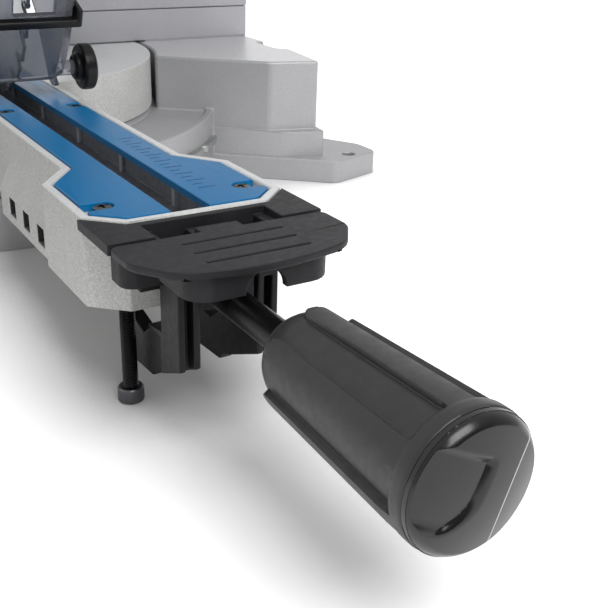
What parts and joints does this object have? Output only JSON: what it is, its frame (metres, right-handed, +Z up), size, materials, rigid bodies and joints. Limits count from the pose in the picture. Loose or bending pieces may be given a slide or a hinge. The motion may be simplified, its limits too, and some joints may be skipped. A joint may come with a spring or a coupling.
{
  "type": "sliding compound mitre saw",
  "caption": "Sliding compound mitre saw: turntable with a blue kerf plate arm, detent lever and twist-lock handle, tilting slide arm, guarded saw head and bench-bolt base.",
  "frame": {"origin": "centre of the bench bolt pattern on the bench plane, on the turntable's axis", "axes": "+Z up along the turntable axis, +Y to the rear, +X to the operator's right"},
  "size_m": [0.494, 0.971, 0.3812],
  "materials": {
    "casting": "sand cast, satin",
    "blue_plate": "satin",
    "black_plastic": "fine texture",
    "grey_plastic": "fine texture",
    "rubber_grip": "matt",
    "gloss_black": "gloss",
    "steel": "satin",
    "dark_steel": "black oxide",
    "blade_steel": "ground",
    "rail_chrome": "polished",
    "bush": "plain",
    "copper": "wound",
    "smoky_clear": "clear, smoky"
  },
  "bodies": {
    "base": {"base_casting": "casting", "detent_plate": "steel", "pivot_bolt": "steel", "fence_left": "casting", "fence_right": "casting", "fence_bolts": "dark_steel"},
    "sub_fence_left": {"sub_fence_left": "casting"},
    "sub_fence_right": {"sub_fence_right": "casting"},
    "fence_knob_left": {"fence_knob_left": "black_plastic"},
    "fence_knob_right": {"fence_knob_right": "black_plastic"},
    "turntable": {"turntable_casting": "casting", "kerf_plate_left": "blue_plate", "kerf_plate_right": "blue_plate", "kerf_screws": "dark_steel", "front_cap": "black_plastic", "lock_bracket": "black_plastic", "lever_pins": "steel", "lock_shoe": "steel", "bevel_shaft": "steel"},
    "level_screw": {"level_screw": "dark_steel"},
    "detent_lever": {"detent_lever": "grey_plastic"},
    "detent_rod": {"detent_rod": "steel"},
    "lock_handle": {"lock_rod": "dark_steel", "handle_grip": "rubber_grip", "handle_cap": "gloss_black"},
    "tilt_arm": {"bevel_arm": "casting", "slide_bushes": "bush"},
    "bevel_lock_lever": {"bevel_lock_lever": "black_plastic"},
    "slide_lock_knob": {"slide_lock_knob": "black_plastic"},
    "carriage": {"slide_rails": "rail_chrome", "rear_rail_bracket": "black_plastic", "head_bracket": "casting", "chop_pin": "steel"},
    "lock_down_pin": {"lock_down_pin": "black_plastic"},
    "head": {"head_casting": "casting", "gear_cover": "black_plastic", "motor_housing": "black_plastic", "motor_end_cap": "black_plastic", "brush_caps": "grey_plastic", "main_handle_left": "black_plastic", "main_handle_right": "black_plastic", "dust_port": "black_plastic", "cord_gland": "black_plastic", "return_spring": "steel", "motor_stator": "steel", "spindle_bearings": "steel"},
    "armature": {"motor_armature": "copper"},
    "blade": {"spindle": "steel", "saw_blade": "blade_steel", "blade_flanges": "steel", "arbor_bolt": "dark_steel"},
    "guard_ring": {"guard_ring": "black_plastic"},
    "lower_guard": {"lower_guard": "smoky_clear", "guard_bar": "black_plastic"},
    "roller_left": {"roller_left": "black_plastic"},
    "roller_right": {"roller_right": "black_plastic"},
    "trigger": {"trigger": "grey_plastic"},
    "lock_off_button": {"lock_off_button": "grey_plastic"},
    "spindle_lock_button": {"spindle_lock_button": "black_plastic"}
  },
  "joints": [
    {"name": "mitre", "type": "hinge", "parent": "base", "child": "turntable", "pos_m": [0, 0, 0], "axis": [0, 0, 1], "range_deg": [-50, 50]},
    {"name": "fence_left_slide", "type": "slide", "parent": "base", "child": "sub_fence_left", "axis": [-1, 0, 0], "range_m": [0, 0.04]},
    {"name": "fence_right_slide", "type": "slide", "parent": "base", "child": "sub_fence_right", "axis": [1, 0, 0], "range_m": [0, 0.04]},
    {"name": "fence_left_clamp", "type": "hinge", "parent": "sub_fence_left", "child": "fence_knob_left", "pos_m": [-0.159, 0.02, 0.111], "axis": [0, 1, 0], "range_deg": [0, 180]},
    {"name": "fence_right_clamp", "type": "hinge", "parent": "sub_fence_right", "child": "fence_knob_right", "pos_m": [0.159, 0.02, 0.111], "axis": [0, 1, 0], "range_deg": [0, 180]},
    {"name": "level_adjust", "type": "slide", "parent": "turntable", "child": "level_screw", "axis": [0, 0, 1], "range_m": [0, 0.008]},
    {"name": "detent_press", "type": "hinge", "parent": "turntable", "child": "detent_lever", "pos_m": [0, -0.365, 0.0695], "axis": [1, 0, 0], "range_deg": [0, 8], "stiffness_Nm_per_rad": 0.6, "springref_deg": -5.73},
    {"name": "detent_lift", "type": "hinge", "parent": "turntable", "child": "detent_rod", "pos_m": [0, -0.276, 0.0435], "axis": [1, 0, 0], "range_deg": [0, 0.65]},
    {"name": "lock_turn", "type": "hinge", "parent": "turntable", "child": "lock_handle", "pos_m": [0, -0.356, 0.052], "axis": [0, -1, 0], "range_deg": [0, 270]},
    {"name": "bevel", "type": "hinge", "parent": "turntable", "child": "tilt_arm", "pos_m": [0, 0.14, 0.077], "axis": [0, -1, 0], "range_deg": [0, 45]},
    {"name": "bevel_lock", "type": "hinge", "parent": "tilt_arm", "child": "bevel_lock_lever", "pos_m": [0, 0.1668, 0.077], "axis": [0, -1, 0], "range_deg": [-30, 30]},
    {"name": "slide_lock", "type": "hinge", "parent": "tilt_arm", "child": "slide_lock_knob", "pos_m": [0.05, 0.229, 0.217], "axis": [1, 0, 0], "range_deg": [0, 180]},
    {"name": "slide", "type": "slide", "parent": "tilt_arm", "child": "carriage", "axis": [0, -1, 0], "range_m": [-0.045, 0.175]},
    {"name": "lock_pin_pull", "type": "slide", "parent": "carriage", "child": "lock_down_pin", "axis": [-1, 0, 0], "range_m": [0, 0.008]},
    {"name": "chop", "type": "hinge", "parent": "carriage", "child": "head", "pos_m": [0, 0.095, 0.2], "axis": [-1, 0, 0], "range_deg": [0, 42]},
    {"name": "blade_spin", "type": "hinge", "parent": "head", "child": "blade", "pos_m": [0, -0.075, 0.173], "axis": [1, 0, 0], "continuous": true},
    {"name": "armature_spin", "type": "hinge", "parent": "head", "child": "armature", "pos_m": [0.1, -0.055, 0.223], "axis": [1, 0, 0], "continuous": true},
    {"name": "guard_close", "type": "hinge", "parent": "head", "child": "guard_ring", "pos_m": [0, -0.075, 0.173], "axis": [1, 0, 0], "range_deg": [0, 116]},
    {"name": "guard_tilt", "type": "hinge", "parent": "guard_ring", "child": "lower_guard", "pos_m": [0, -0.075, 0.173], "axis": [-1, 0, 0], "range_deg": [0, 26]},
    {"name": "roller_left_spin", "type": "hinge", "parent": "lower_guard", "child": "roller_left", "pos_m": [-0.035, -0.14719, 0.09], "axis": [1, 0, 0], "continuous": true},
    {"name": "roller_right_spin", "type": "hinge", "parent": "lower_guard", "child": "roller_right", "pos_m": [0.035, -0.14719, 0.09], "axis": [1, 0, 0], "continuous": true},
    {"name": "trigger_pull", "type": "hinge", "parent": "head", "child": "trigger", "pos_m": [0, -0.111, 0.346], "axis": [-1, 0, 0], "range_deg": [0, 12], "stiffness_Nm_per_rad": 0.1, "springref_deg": -5.73},
    {"name": "lock_off_press", "type": "slide", "parent": "head", "child": "lock_off_button", "axis": [1, 0, 0], "range_m": [0, 0.003], "stiffness_N_per_m": 300, "springref_m": -0.002},
    {"name": "spindle_lock_press", "type": "slide", "parent": "head", "child": "spindle_lock_button", "axis": [0, 1, 0], "range_m": [0, 0.004], "stiffness_N_per_m": 300, "springref_m": -0.002}
  ],
  "couplings": [
    {"joint": "armature_spin", "follows": "blade_spin", "ratio": -3.7768},
    {"joint": "guard_close", "follows": "chop", "ratio": 2.75},
    {"joint": "guard_tilt", "follows": "bevel", "ratio": 0.56},
    {"joint": "detent_lift", "follows": "detent_press", "ratio": 0.078}
  ]
}
